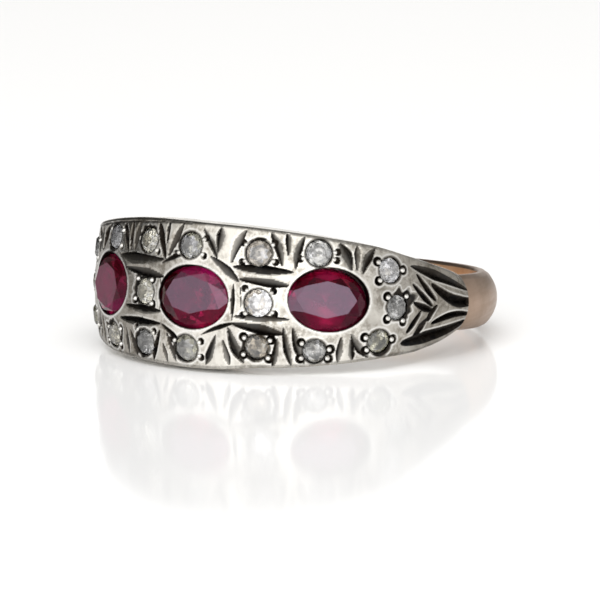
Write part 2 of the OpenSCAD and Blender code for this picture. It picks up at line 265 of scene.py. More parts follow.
# Cuts between the rubies, with the same columns
MIDDLE_CUTS = [
    # Fans at the upper edge, from left to right
    (-29.5, 3.15, -26, 1.8, 0.42, 0.35, 0, 0.2, 0, 1),
    (-25.5, 3.25, -25, 1.8, 0.32, 0.35, 0, 0.18, 0, 1),
    (-22, 3.3, -23, 1.85, 0.42, 0.4, 0, 0.18, 0.5, 0.8),
    (-14, 3.3, -10.5, 1.65, 0.42, 0.3, 0, 0.22, 0, 1),
    (-10.5, 3.4, -10.5, 2.4, 0.25, 0.3, 0, 0.16, 0, 0.95),
    (-5.5, 3.4, -9.5, 1.8, 0.4, 0.4, 0, 0.18, 0.5, 0.8),
    (1, 3.25, 6, 1.9, 0.34, 0.5, 0.05, 0.18, -0.6, 0.45),
    (6.5, 3.35, 6, 2.15, 0.46, 0.3, 0, 0.18, -0.7, 0.4),
    (13.5, 3.3, 10, 1.7, 0.44, 0.4, -0.1, 0.2, 0.6, 0.5),
    (20.5, 3.25, 24, 1.7, 0.44, 0.4, 0.1, 0.2, -0.6, 0.6),
    (25, 3.3, 25.5, 2.2, 0.3, 0.3, 0, 0.16, -0.6, 0.6),
    (29.5, 3.15, 27.5, 1.6, 0.38, 0.4, -0.1, 0.18, 0.5, 0.6),
    # Fans at the lower edge
    (-27.5, -1.85, -30, -3.1, 0.25, 0.6, 0, 0.16, 0, 1),
    (-25.5, -1.85, -25, -3.1, 0.3, 0.6, 0, 0.16, 0.3, 0.8),
    (-23.5, -1.95, -21, -3.1, 0.38, 0.6, 0, 0.18, 0.4, 0.85),
    (-11.5, -1.75, -14.5, -3.25, 0.32, 0.65, 0, 0.2, 0, 1),
    (-10.5, -2.35, -9, -3.25, 0.27, 0.6, 0, 0.14, 0.4, 0.7),
    (-9, -1.85, -6, -3.2, 0.3, 0.6, 0, 0.18, 0.4, 0.85),
    (6.5, -1.75, 3.5, -3.2, 0.42, 0.7, 0, 0.18, -0.4, 0.6),
    (8.5, -1.95, 10.5, -3.15, 0.34, 0.7, 0, 0.16, 0.5, 0.6),
    (10, -1.35, 14.5, -3, 0.54, 0.6, -0.1, 0.2, -0.4, 0.7),
    (23.5, -1.7, 22.5, -3.1, 0.34, 0.7, 0, 0.18, -0.5, 0.6),
    (25, -1.2, 27.5, -3, 0.36, 0.6, -0.05, 0.18, -0.5, 0.6),
    (27.5, -1.15, 31, -2.85, 0.4, 0.6, -0.1, 0.18, -0.5, 0.65),
    # Long bars above and below the diamond between two rubies
    (-29.5, 1.6, -10.5, 1.6, 0.43, 0.35, 0, 0.2, 0.65, 0.6),
    (-26.5, 1.05, -10.5, 0.8, 0.46, 0.6, 0, 0.2, -0.6, 0.8),
    (-25.5, -0.75, -11, -0.85, 0.32, 0.55, 0, 0.2, 0.4, 0.95),
    (-28.5, -1.4, -11, -1.45, 0.35, 0.5, 0, 0.22, 0.4, 1),
    (10.5, 1.55, 27, 1.45, 0.46, 0.5, 0, 0.22, 0.4, 0.92),
    (12.5, 1, 26, 0.8, 0.44, 0.6, 0, 0.2, -0.7, 0.78),
    (11.5, -0.8, 26.5, -0.8, 0.36, 0.4, 0, 0.16, 0.7, 0.7),
    (11, -1.15, 25, -1.5, 0.52, 0.6, 0, 0.22, -0.5, 0.88),
    # Short cuts that frame the middle ruby
    (4, 1.95, 12.5, 0.85, 0.42, 0.6, 0.05, 0.16, 0.6, 0.78),
    (11, 0.75, 11, -1, 0.26, 0.45, 0, 0.14, 0.3, 0.9),
    (2, -1.8, 12, -1.1, 0.26, 0.6, 0.05, 0.14, 0.3, 0.9),
    (-11, -1.45, -5.5, -2.05, 0.27, 0.75, 0, 0.16, 0, 1),
    (-11.5, 1.45, -5, 1.9, 0.26, 0.6, 0.05, 0.14, 0.3, 0.9),
    (-11.5, 0.7, -11.5, -0.9, 0.16, 0.5, 0, 0.08, 0, 0.8),
    (13, 0.6, 13.5, -0.4, 0.1, 0.5, 0, 0.08, 0, 0.8),
]
CUTS = SHOULDER_CUTS + MIDDLE_CUTS + [
    (-a1, z1, -a2, z2, w, share, -bow, depth, -keel, oxide_and_shade)
    for a1, z1, a2, z2, w, share, bow, depth, keel, oxide_and_shade in SHOULDER_CUTS
]
# Power that narrows a cut to its ends, and the blunter one of cuts that are blacker than
# this, unless their keel is further left than this
FULLNESS = 0.5
BLUNT = 0.3
BLUNT_BLACK = 0.9
BLUNT_KEEL = 0.2
# With a keel further out than this, the gentle side reaches this many half widths out and
# slopes with this power
GENTLE_KEEL = 0.35
GENTLE_REACH = 1.7
GENTLE_POWER = 1.3
# A cut's greatest depth as a share of its width
MOST_DEPTH = 0.6
# The low burr on its rim, where the metal is less deep than this, and the painted highlight line
# there
BURR = 0.012
BURR_SPREAD = 0.035
BURR_LIMIT = 0.02
CUT_SHINE = 0.04
# Shares of its width that are evenly black, with oxide and painted shade, and that fade.
# With a half width below this share of SNAP it isn't black
CUT_BLACK_EVEN = 0.1
CUT_BLACK_FADE = 0.8
CUT_BLACK_SNAPS = 0.3

# The round pit that the beading tool leaves round a bead, the power that shapes its bowl,
# its black share, and the painted highlight line outside it
BEAD_R = 0.135
BEAD_SINK = 0.03
FLAT_SINK = 0.09
PIT_R = 0.24
PIT_DEPTH = 0.16
PIT_SHIFT = 0.055
PIT_POWER = 4
PIT_BLACK = 0.999
PIT_SHINE_OUT = 0.05
PIT_SHINE = 0.04
# Beside a flat bead the pit is a smaller dot further out
DOT_R = 0.18
DOT_SHIFT = 0.14
# Rings and sides of a bead's mesh
BEAD_RINGS = 7
BEAD_SIDES = 12

# Depth of a seat at its rim and in its middle, how far inside the rim its wall ends, how many
# times SNAP inside the rim points still move there, and the half length below which it is small
RUBY_SEAT = (0.36, 1.62)
DIAMOND_SEAT = (0.2, 0.72)
WALL_FOOT = 0.03
FOOT_SNAPS = 3
SMALL_STONE = 1
# Share of the way out where a seat turns black with painted shade, over which share, and how
# black its rim is
SEAT_BLACK_FROM = 0.93
SEAT_BLACK_SPAN = 0.04
RIM_BLACK = 0.9
# The painted highlight line outside it: how far out, and its spread at small stones and rubies
SEAT_SHINE_OUT = 0.05
SMALL_SHINE = 0.045
RUBY_SHINE = 0.07

# Black dirt round the small stones: its usual width, and the stones with a thick crust,
# with the side where it lies (turn anticlockwise from the right), its extra width and how
# jagged it is
CRUST = 0.05
PLAIN_CRUST = (0, 0.0, 0.25)
CRUSTS = {
    "right_end": (30, 0.5, 0.8),
    "right_end_upper": (10, 0.03, 0.1),
    "right_end_lower": (320, 0.14, 0.1),
    "right_gap_lower": (200, 0.1, 0.5),
    "right_gap_upper": (100, 0.04, 0.3),
    "left_gap": (170, 0.16, 0.6),
    "left_gap_upper": (120, 0.1, 0.8),
    "left_gap_lower": (200, 0.1, 0.5),
    "left_ruby_lower": (150, 0.12, 0.6),
    "left_ruby_upper": (220, 0.1, 0.4),
    "middle_lower": (190, 0.06, 0.4),
}
# Waves of its jagged edge: share, waves round the stone, and phase for each stone's number
CRUST_WAVES = ((0.5, 5, 1), (0.4, 11, 2.3))
CRUST_LIMITS = (0.2, 2)
# How narrowly it keeps to its side, and its shares that are evenly black and that fade
CRUST_SIDE_POWER = 1.5
CRUST_EVEN = 0.6
CRUST_FADE = 0.4
CRUST_LEAST_FADE = 0.02
# It is blacker with more extra width than this, and in a hollow where it is black enough
CRUST_THICK = 0.03
CRUST_BLACK = 0.95
THIN_CRUST_BLACK = 0.55
CRUST_HOLLOW_FROM = 0.7
CRUST_HOLLOW = 0.05

# How far the metal stands up round a ruby
RIM_RISE = 0.045

# The fine line engraved along the upper edge: its half width and depth
EDGE_LINE = 0.036
EDGE_LINE_DEPTH = 0.03
# How black it is, with waves of share, turns and phase, and how it ends before the joints
EDGE_BLACK = 0.72
EDGE_WAVES = ((0.18, 0.7, 0), (0.16, 1.9, 1), (0.1, 5.3, 0))
EDGE_LINE_END = 4
EDGE_LINE_FADE = 8
# The line along the lower edge: its share of that black, on the dome and on the side
LOWER_LINE = 0.35
LOWER_LINE_SIDE = 0.6

# Rounding of the band's edges, inside and outside
EDGE_IN = 0.16
EDGE_OUT = 0.14

# Angles between which the face turns from painted lit to painted shade, left and right. The
# sides and the wall of the finger hole have a value above 1, which keeps them painted lit and
# also takes most of the patina away
LIT_TO_SHADE_LEFT = (-30, 4)
LIT_TO_SHADE_RIGHT = (34, 74)
SIDE_LIGHT_AND_WEAR = 1.15

# Fineness of the meshes: steps round the finger and across the dome, of the head and of the
# shank, and down the wall of the finger hole
HEAD_STEPS, DOME_STEPS = 600, 132
SHANK_STEPS, SHANK_DOME_STEPS = 220, 32
WALL_STEPS = 8
# Steps over a rounded inner edge, a flat side and a rounded outer edge
INNER_STEPS = (0.25, 0.5, 0.75, 1.0)
HEAD_SIDE_STEPS = (0.33, 0.67, 1.0)
SHANK_SIDE_STEPS = (0.5, 1.0)
OUTER_STEPS = (0.3, 0.6)
# Edges sharper than these angles aren't shaded smooth, on the metal and on the beads
SHARP_ANGLE = 38
BEAD_SHARP_ANGLE = 60

# Half the longer side of a cell of the head's grid, at about this radius. Points closer than
# that to a seat's edge snap to it, and closer than this share of it to a cut's
FACE_R = 10.3
SNAP = 0.5 * max(math.radians(2 * HEAD_END / HEAD_STEPS) * FACE_R, FRONT_W / DOME_STEPS)
CUT_SNAP_SHARE = 0.9
# Small values that keep divisors above zero
TINY = 1e-9
THIN = 1e-6

# Waves of handwork on the face: height, the radius at which they are laid out, and for each
# its share, its turns round and along the finger, and its phase
WAVE_HEIGHT = 0.006
WAVE_R = 10.0
WAVES = (
    (1, 2.1, 1.3, 0.4),
    (0.8, -1.2, 3.1, 1.9),
    (0.6, 4.3, -2.2, 2.7),
    (0.4, 5.9, 4.7, 0),
    (0.3, 9.1, -7.3, 0.8),
)


def unevenness(a, z):
    """Slow waves of handwork on the face, up to two hundredths of a millimetre deep."""
    x = np.radians(a) * WAVE_R
    waves = sum(share * np.sin(p * x + q * z + phase) for share, p, q, phase in WAVES)
    return WAVE_HEIGHT * waves


def hill(distance, spread):
    """A soft ridge, 1 high where the distance is zero."""
    return np.exp(-((distance / spread) ** 2))


def seat_list():
    """Every seat: angle, height, half length and width, depth at rim and middle, crust."""
    seats = []
    for name, sa, sz, (right, up), _ in RUBIES:
        sa, sz = sa + math.degrees(right / float(surface_r(sa, sz))), sz + up
        seats.append((sa, sz, RUBY_L / 2, RUBY_W / 2, *RUBY_SEAT, PLAIN_CRUST))
    for name, sa, sz, size, _ in DIAMONDS:
        r = DIAMOND_D * size / 2 + STONE_GAP
        seats.append((sa, sz, r, r, *DIAMOND_SEAT, CRUSTS.get(name, PLAIN_CRUST)))
    return seats


class Face:
    """The grid of the outer face: where its points are, how deep, how black, how much painted
    highlight.
    """

    def __init__(self, a, z):
        self.a, self.z = a, z
        self.depth = -unevenness(a, z)
        self.dark = np.zeros_like(a)
        self.painted_highlight = np.zeros_like(a)
        self.fixed = np.zeros(a.shape, bool)

    def move(self, which, a, z):
        self.a = np.where(which, a, self.a)
        self.z = np.where(which, z, self.z)

    def deepen(self, which, depth):
        self.depth = np.where(which, np.maximum(self.depth, depth), self.depth)

    def paint_highlight(self, shine):
        self.painted_highlight = np.maximum(self.painted_highlight, shine)


def carve_seat(face, number, seat):
    """Cut a stone's seat, with painted shade in its gap, and the dirt and the painted highlight
    line round it.
    """
    sa, sz, half_l, half_w, rim_depth, mid_depth, (turn, extra, jagged) = seat
    small = half_l < SMALL_STONE
    r = float(surface_r(sa, sz))
    x = np.radians(face.a - sa) * r
    y = face.z - sz
    q = np.sqrt((x / half_l) ** 2 + (y / half_w) ** 2) + TINY
    dist = (q - 1) * np.sqrt(x * x + y * y) / q
    near = np.abs(dist) < SNAP
    inside = dist <= -SNAP
    foot = inside & (dist > -FOOT_SNAPS * SNAP)
    k = np.where(near, 1.0, np.where(foot, 1 - WALL_FOOT / half_w, q)) / q
    face.move(near | foot, sa + np.degrees(x * k / r), sz + y * k)
    cup = rim_depth + (mid_depth - rim_depth) * np.clip(1 - np.minimum(q, 1.0), 0, 1)
    face.depth = np.where(inside, cup, face.depth)
    face.fixed |= near | inside
    # The seat's wall and rim are painted black with the shade of the gap round the stone
    wall_black = smooth((q - SEAT_BLACK_FROM) / SEAT_BLACK_SPAN)
    rim_black = np.where(inside, wall_black, np.where(near, RIM_BLACK, 0.0))
    around = np.arctan2(y, x)
    waves = sum(share * np.sin(n * around + phase * number) for share, n, phase in CRUST_WAVES)
    thick = extra * np.clip(np.cos(around - math.radians(turn)), 0, 1) ** CRUST_SIDE_POWER
    width = (CRUST + thick) * np.clip(1 + jagged * waves, *CRUST_LIMITS) * small
    fading = np.maximum(CRUST_FADE * width, CRUST_LEAST_FADE)
    crusty = 1 - smooth((dist - SNAP - CRUST_EVEN * width) / fading)
    tone = np.where(thick > CRUST_THICK, CRUST_BLACK, THIN_CRUST_BLACK)
    outside = crusty * tone * (dist >= SNAP) * small
    face.deepen(outside > CRUST_HOLLOW_FROM, CRUST_HOLLOW)
    # Every rim gets a painted highlight just outside, and a ruby's also stands up a little
    bright_from = SNAP + (width if small else 0.0)
    shine = hill(dist - bright_from - SEAT_SHINE_OUT, SMALL_SHINE if small else RUBY_SHINE)
    shine = shine * (dist > SNAP)
    face.paint_highlight(shine)
    if not small:
        face.depth = face.depth - RIM_RISE * shine
    black = np.maximum(face.dark, np.maximum(rim_black, outside))
    face.dark = np.where(inside, rim_black, black)


def carve_pit(face, pa, pz, turn, flat):
    """Cut the pit round a bead, or the dot beside a flat one."""
    r = float(surface_r(pa, pz))
    size, shift = (DOT_R, DOT_SHIFT) if flat else (PIT_R, PIT_SHIFT)
    pa = pa + math.degrees(shift * math.cos(math.radians(turn)) / r)
    pz = pz + shift * math.sin(math.radians(turn))
    x = np.radians(face.a - pa) * r
    y = face.z - pz
    dist = np.sqrt(x * x + y * y) + TINY
    snap = ~face.fixed & (np.abs(dist - size) < SNAP)
    k = size / dist
    face.move(snap, pa + np.degrees(x * k / r), pz + y * k)
    face.fixed |= snap
    q = np.where(snap, 1.0, dist / size)
    bowl = PIT_DEPTH * np.clip(1 - q**PIT_POWER, 0, 1)
    free = ~face.fixed
    face.deepen(free, bowl)
    face.dark = np.where(free & (q < PIT_BLACK), 1.0, face.dark)
    # A painted highlight line just outside the pit
    face.paint_highlight(hill(dist - size - PIT_SHINE_OUT, PIT_SHINE) * (dist > size))
    face.fixed |= (q < 1) & free


def carve_cut(face, cut):
    """Cut one stroke of the graver, with its keel, rims, painted highlight and black of oxide and
    painted shade.
    """
    a1, z1, a2, z2, w, share, bow, deep, keel, oxide_and_shade = cut
    r = float(surface_r((a1 + a2) / 2, (z1 + z2) / 2))
    run = np.array([math.radians(a2 - a1) * r, z2 - z1])
    length = float(np.hypot(*run))
    ux, uz = run / length
    side = -1.0 if keel < 0 else 1.0
    reach = GENTLE_REACH if abs(keel) > GENTLE_KEEL else 1.0
    x = np.radians(face.a - a1) * r
    y = face.z - z1
    t = (x * ux + y * uz) / length
    # Distance from the middle of the cut, counted towards its steep side
    across = (-x * uz + y * ux - bow * np.sin(np.pi * np.clip(t, 0, 1))) * side
    inside = (t > 0) & (t < 1)
    k = np.clip(np.where(t < share, t / share, (1 - t) / (1 - share)), 0, 1)
    power = BLUNT if oxide_and_shade > BLUNT_BLACK and keel <= BLUNT_KEEL else FULLNESS
    full = np.where(inside, k**power, 0)
    half = w / 2 * full
    keel_at = abs(keel) * half
    for line in (keel_at, half) if reach > 1 else (keel_at, half, -half):
        off = across - line
        snap = inside & ~face.fixed & (np.abs(off) < SNAP * CUT_SNAP_SHARE) & (half > SNAP)
        face.move(snap, face.a + np.degrees(off * side * uz / r), face.z - off * side * ux)
        across = np.where(snap, line, across)
        face.fixed |= snap
    steep = (half - across) / np.maximum(half - keel_at, THIN)
    gentle = (across + reach * half) / np.maximum(keel_at + reach * half, THIN)
    slope = np.where(across > keel_at, steep, np.clip(gentle, 0, 1) ** GENTLE_POWER)
    sunk = min(deep, MOST_DEPTH * w) * full * (np.clip(slope, 0, 1) * inside)
    past_rim = across > half
    burr = BURR * hill(across - half, BURR_SPREAD) * past_rim * inside * full
    if reach == 1.0:
        other_rim = hill(across + half, BURR_SPREAD) * (across < -half)
        burr = burr + BURR * other_rim * inside * full
    face.depth = face.depth - burr * (face.depth < BURR_LIMIT)
    face.deepen(sunk > 0, sunk)
    # Black, part oxide and part painted shade, lies along the steep wall and thins out towards
    # the gentle rim
    u = np.clip((half - across) / np.maximum(2 * half, THIN), 0, 1)
    black = 1 - (1 - oxide_and_shade) * smooth((u - CUT_BLACK_EVEN) / CUT_BLACK_FADE)
    black = black * ((np.abs(across) < half) & inside & (half > CUT_BLACK_SNAPS * SNAP))
    face.dark = np.maximum(face.dark, black)
    # A painted highlight line just outside the steep rim
    face.paint_highlight(hill(across - half - CUT_SHINE, CUT_SHINE) * past_rim * inside * full)


def edge_blackness(a):
    """How black the line along the edge is: uneven, and gone near the joints."""
    tone = EDGE_BLACK
    for share, turns, phase in EDGE_WAVES:
        tone = tone + share * np.sin(turns * a + phase)
    fading = smooth((HEAD_END - EDGE_LINE_END - np.abs(a)) / EDGE_LINE_FADE)
    return np.clip(tone, 0, 1) * fading


def carve_edge_line(face):
    """Cut the line along the upper edge, uneven and not quite black."""
    line = line_height(face.a)
    middle = np.abs(face.a) < HEAD_END - JOINT_STRETCH
    snap = ~face.fixed & (np.abs(face.z - line) < SNAP) & middle
    face.z = np.where(snap, line, face.z)
    on_line = (np.abs(face.z - line) < EDGE_LINE) & middle
    face.deepen(on_line, EDGE_LINE_DEPTH)
    black = np.maximum(face.dark, edge_blackness(face.a))
    face.dark = np.where(on_line, black, face.dark)


def carve(a, z):
    """The face with all seats, pits and cuts. The earlier ones keep the points they fixed."""
    face = Face(a, z)
    for number, seat in enumerate(seat_list()):
        carve_seat(face, number, seat)
    for bead in bead_places():
        carve_pit(face, *bead)
    for cut in CUTS:
        carve_cut(face, cut)
    carve_edge_line(face)
    face.painted_highlight = face.painted_highlight * (1 - face.dark)
    return face


def bead_places():
    """Every bead: angle, height, its direction from the stone, and whether it is flat."""
    places = []
    for name, a, z, size, turns in DIAMONDS:
        r = float(surface_r(a, z))
        away = (DIAMOND_D * size + BEAD_D + STONE_GAP) / 2
        for turn in turns:
            x = away * math.cos(math.radians(turn))
            y = away * math.sin(math.radians(turn))
            places.append((a + math.degrees(x / r), z + y, turn, name not in ROUND_BEADS))
    return places


def make_mesh(name, points, faces, smooth_angle=None):
    mesh = bpy.data.meshes.new(name)
    mesh.from_pydata([tuple(p) for p in points], [], faces)
    mesh.validate()
    mesh.update()
    obj = bpy.data.objects.new(name, mesh)
    bpy.context.scene.collection.objects.link(obj)
    if smooth_angle:
        mesh.shade_smooth()
        mesh.set_sharp_from_angle(angle=math.radians(smooth_angle))
    return obj


def quarter(t):
    """Sine and cosine of a share of a quarter turn."""
    return math.sin(t * math.pi / 2), math.cos(t * math.pi / 2)


def band_side(h, edge, flat_steps):
    """Radius and height over a side at height h, up to the radius of the face's edge. Both
    are numbers, or hold one for each angle."""
    rows = []
    for s, c in map(quarter, INNER_STEPS):
        rows.append((BORE_R + EDGE_IN * (1 - c) + 0 * h, h - EDGE_IN + EDGE_IN * s))
    for t in flat_steps:
        rows.append((BORE_R + EDGE_IN + (edge - EDGE_OUT - BORE_R - EDGE_IN) * t, h))
    for s, c in map(quarter, OUTER_STEPS):
        rows.append((edge - EDGE_OUT * (1 - s), h - EDGE_OUT * (1 - c)))
    return rows


def tube_faces(steps, n):
    """Faces of a tube with n points round it, closed by a flat face at each end."""
    faces = []
    for i in range(steps):
        for j in range(n):
            k = (j + 1) % n
            faces.append((i * n + j, i * n + k, (i + 1) * n + k, (i + 1) * n + j))
    faces.append(tuple(range(n - 1, -1, -1)))
    faces.append(tuple(steps * n + q for q in range(n)))
    return faces


def head_mesh():
    """The head as one closed grid: dome, sides and the wall of the finger hole."""
    angles = np.linspace(-HEAD_END, HEAD_END, HEAD_STEPS + 1)
    top, low = upper(angles), lower(angles)
    # Wall of the hole from top to bottom, then the lower side, the dome and the upper side
    before = []
    for t in np.linspace(0, 1, WALL_STEPS + 1):
        before.append((BORE_R + 0 * top, (top - EDGE_IN) * (1 - t) - (low - EDGE_IN) * t))
    lower_side = band_side(low, surface_r(angles, -low), HEAD_SIDE_STEPS)
    before += [(r, -z) for r, z in lower_side]
    after = band_side(top, surface_r(angles, top), HEAD_SIDE_STEPS)[::-1]
    grid_a = np.repeat(angles[:, None], DOME_STEPS + 1, 1)
    up_to, down_to = (top - EDGE_OUT)[:, None], -(low - EDGE_OUT)[:, None]
    grid_z = down_to + (up_to - down_to) * np.linspace(0, 1, DOME_STEPS + 1)[None, :]
    face = carve(grid_a, grid_z)
    # The end faces stay flat
    for end in (0, -1):
        face.a[end], face.z[end], face.depth[end] = grid_a[end], grid_z[end], 0

    def columns(rows, part):
        return np.stack([row[part] for row in rows], 1)

    def plain(rows, value):
        return np.repeat(value[:, None], len(rows), 1)

    turn = np.concatenate([plain(before, angles), face.a, plain(after, angles)], 1)
    face_r = surface_r(face.a, face.z) - face.depth
    radius = np.concatenate([columns(before, 0), face_r, columns(after, 0)], 1)
    height = np.concatenate([columns(before, 1), face.z, columns(after, 1)], 1)
    # A soft grey line along the lower edge too
    line = LOWER_LINE * edge_blackness(angles)
    face.dark[:, 0] = np.maximum(face.dark[:, 0], line)
    clean = np.zeros_like(angles)
    lower_dark = plain(before, clean)
    lower_dark[:, -len(OUTER_STEPS) :] = LOWER_LINE_SIDE * line[:, None]
    tarnish_and_shade_mask = np.concatenate([lower_dark, face.dark, plain(after, clean)], 1)
    painted_highlight = np.concatenate([plain(before, clean), face.painted_highlight, plain(after, clean)], 1)
    points = ring_points(turn.ravel(), radius.ravel(), height.ravel())
    faces = tube_faces(HEAD_STEPS, turn.shape[1])
    obj = make_mesh("head_engraved", points, faces, SHARP_ANGLE)
    # The face is painted lit brightest to the right of its middle and painted in shade towards
    # its ends, and the sides are even
    light_and_wear = (1 - between(turn, LIT_TO_SHADE_RIGHT)) * between(turn, LIT_TO_SHADE_LEFT)
    light_and_wear[:, : len(before) - 1] = SIDE_LIGHT_AND_WEAR
    light_and_wear[:, 1 - len(after) :] = SIDE_LIGHT_AND_WEAR
    for title, values in (("tarnish_and_shade_mask", tarnish_and_shade_mask), ("light_and_wear", light_and_wear), ("painted_highlight", painted_highlight)):
        layer = obj.data.attributes.new(title, "FLOAT", "POINT")
        layer.data.foreach_set("value", values.ravel().astype(np.float32))
    return obj


def shank_mesh():
    """The plain shank, from one end of the head round to the other."""
    h = SHANK_W / 2
    side = band_side(h, BORE_R + SHANK_T - SHANK_DOME, SHANK_SIDE_STEPS)
    outline = [(BORE_R, (h - EDGE_IN) * (1 - 2 * t)) for t in np.linspace(0, 1, WALL_STEPS + 1)]
    outline += [(r, -z) for r, z in side]
    for share in np.linspace(-1, 1, SHANK_DOME_STEPS + 1):
        z = share * (h - EDGE_OUT)
        outline.append((BORE_R + SHANK_T - SHANK_DOME * (abs(z) / h) ** DOME_POWER, z))
    outline += side[::-1]
    n = len(outline)
    angles = np.linspace(HEAD_END, 360 - HEAD_END, SHANK_STEPS + 1)
    radii = np.tile([r for r, z in outline], SHANK_STEPS + 1)
    heights = np.tile([z for r, z in outline], SHANK_STEPS + 1)
    points = ring_points(np.repeat(angles, n), radii, heights)
    obj = make_mesh("shank_satin", points, tube_faces(SHANK_STEPS, n), SHARP_ANGLE)
    # The wall of the finger hole takes the second material, a brighter copy of the gold that
    # paints the light inside the hole
    for i in range(SHANK_STEPS):
        for j in range(WALL_STEPS):
            obj.data.polygons[i * n + j].material_index = 1
    return obj


# Table of the diamonds, told as those of the rubies are
DIAMOND_TABLE = (0.62, 0.62, 0)
# A star's tip lies this far from the table's edge to the rim, and this high in the crown
STAR_REACH = 0.6
STAR_HEIGHT = 0.68
# Size of the ring of corners round the culet, as a share of the stone's
LOWER_SHARE = 0.22
# The stars' tips stand half an eighth of a turn from the table's corners. Each eighth has
# seven facets, the first four of them on the crown
HALF_EIGHTH = 22.5
EIGHTH_FACETS = 7


def brilliant(name, length, width, depths, table, place):
    """A brilliant cut with table, stars, kites and halves, stretched to an oval."""
    crown, girdle, pavilion = depths
    table_length, table_width, lift = table
    lower_h = pavilion * (1 - LOWER_SHARE * math.cos(math.radians(HALF_EIGHTH)))

    def ring(n, turn, share, h):
        out = []
        for i in range(n):
            t = math.radians(turn + 360 * i / n)
            out.append((share * length / 2 * math.cos(t), share * width / 2 * math.sin(t), h))
        return out

    top = []
    for x, y, _ in ring(8, 0, 1, 0):
        top.append((x * table_length, y * table_width + lift * width / 2, crown))
    stars = []
    for i, tip in enumerate(ring(8, HALF_EIGHTH, 1, 0)):
        x, y = ((top[i][axis] + top[(i + 1) % 8][axis]) / 2 for axis in (0, 1))
        x += (tip[0] - x) * STAR_REACH
        y += (tip[1] - y) * STAR_REACH
        stars.append((x, y, crown * STAR_HEIGHT))
    points = (
        top
        + stars
        + ring(16, 0, 1, 0)
        + ring(16, 0, 1, -girdle)
        + ring(8, HALF_EIGHTH, LOWER_SHARE, -girdle - lower_h)
        + [(0, 0, -girdle - pavilion)]
    )
    star, rim, base, low, culet = 8, 16, 32, 48, 56
    faces = [tuple(range(8))]
    for i in range(8):
        j = (i + 1) % 8
        h = (i + 7) % 8
        faces += [
            (i, star + i, j),
            (i, star + h, rim + 2 * i, star + i),
            (star + i, rim + 2 * i, rim + 2 * i + 1),
            (star + i, rim + 2 * i + 1, rim + 2 * j),
            (low + i, base + 2 * i + 1, base + 2 * i),
            (low + i, base + 2 * j, base + 2 * i + 1),
            (culet, low + i, base + 2 * i, low + h),
        ]
    for i in range(16):
        j = (i + 1) % 16
        faces.append((rim + i, base + i, base + j, rim + j))
    pts = [(place @ Vector(p)) * MM for p in points]
    return make_mesh(name, pts, faces)


def beads_mesh():
    """The raised beads, each a small ball sunk about to its middle, or deeper if it is flat."""
    points, faces = [], []
    for a, z, _, flat in bead_places():
        place = on_face(a, z) @ Matrix.Translation((0, 0, -FLAT_SINK if flat else -BEAD_SINK))
        start = len(points)
        points.append(place @ Vector((0, 0, BEAD_R)))
        for i in range(1, BEAD_RINGS):
            for j in range(BEAD_SIDES):
                lat = math.pi * i / BEAD_RINGS
                lon = 2 * math.pi * j / BEAD_SIDES
                v = (math.sin(lat) * math.cos(lon), math.sin(lat) * math.sin(lon), math.cos(lat))
                points.append(place @ (Vector(v) * BEAD_R))
        points.append(place @ Vector((0, 0, -BEAD_R)))
        last = len(points) - 1
        for j in range(BEAD_SIDES):
            k = (j + 1) % BEAD_SIDES
            faces.append((start, start + 1 + j, start + 1 + k))
            faces.append((last, last - BEAD_SIDES + k, last - BEAD_SIDES + j))
            for i in range(BEAD_RINGS - 2):
                b = start + 1 + i * BEAD_SIDES
                faces.append((b + j, b + BEAD_SIDES + j, b + BEAD_SIDES + k, b + k))
    return make_mesh("beads", [p * MM for p in points], faces, BEAD_SHARP_ANGLE)


# Materials
class Shader:
    """A short way to write a material's nodes: each call adds one node and links it."""

    def __init__(self, name):
        self.mat = bpy.data.materials.new(name)
        self.mat.use_nodes = True
        self.tree = self.mat.node_tree
        self.bsdf = self.tree.nodes["Principled BSDF"]

    def node(self, kind, **inputs):
        made = self.tree.nodes.new(kind)
        for key, value in inputs.items():
            self.put(made, key.replace("_", " "), value)
        return made

    def put(self, node, socket, value):
        if isinstance(value, bpy.types.NodeSocket):
            self.tree.links.new(value, node.inputs[socket])
        else:
            node.inputs[socket].default_value = value

    def math(self, operation, a, b=0.0, c=0.0):
        made = self.tree.nodes.new("ShaderNodeMath")
        made.operation = operation
        for i, value in enumerate((a, b, c)):
            self.put(made, i, value)
        return made.outputs[0]

    def ramp(self, value, low, high, to_low=0.0, to_high=1.0):
        made = self.tree.nodes.new("ShaderNodeMapRange")
        made.interpolation_type = "SMOOTHSTEP"
        keys = ("Value", "From Min", "From Max", "To Min", "To Max")
        for key, v in zip(keys, (value, low, high, to_low, to_high)):
            self.put(made, key, v)
        return made.outputs[0]

    def mix(self, factor, a, b):
        made = self.tree.nodes.new("ShaderNodeMix")
        made.data_type = "RGBA"
        self.put(made, 0, factor)
        for socket, value in ((6, a), (7, b)):
            self.put(made, socket, (*value, 1) if isinstance(value, tuple) else value)
        return made.outputs[2]

    def attribute(self, title):
        made = self.tree.nodes.new("ShaderNodeAttribute")
        made.attribute_name = title
        return made.outputs["Fac"]

    def noise(self, scale, detail, roughness, stretch=None):
        where = self.tree.nodes.new("ShaderNodeTexCoord").outputs["Object"]
        if stretch:
            where = self.node("ShaderNodeMapping", Vector=where, Scale=stretch).outputs[0]
        made = self.node("ShaderNodeTexNoise", Vector=where, Scale=scale)
        self.put(made, "Detail", detail)
        self.put(made, "Roughness", roughness)
        return made.outputs[0]

    def bump(self, height, distance, normal=None):
        made = self.node("ShaderNodeBump", Height=height, Distance=distance)
        if normal:
            self.put(made, "Normal", normal)
        return made.outputs[0]

    def set(self, **inputs):
        for key, value in inputs.items():
            if isinstance(value, tuple):
                value = (*value, 1)
            self.put(self.bsdf, key.replace("_", " "), value)
        return self.mat


# Noise scales are in cells per metre, and bump distances in metres

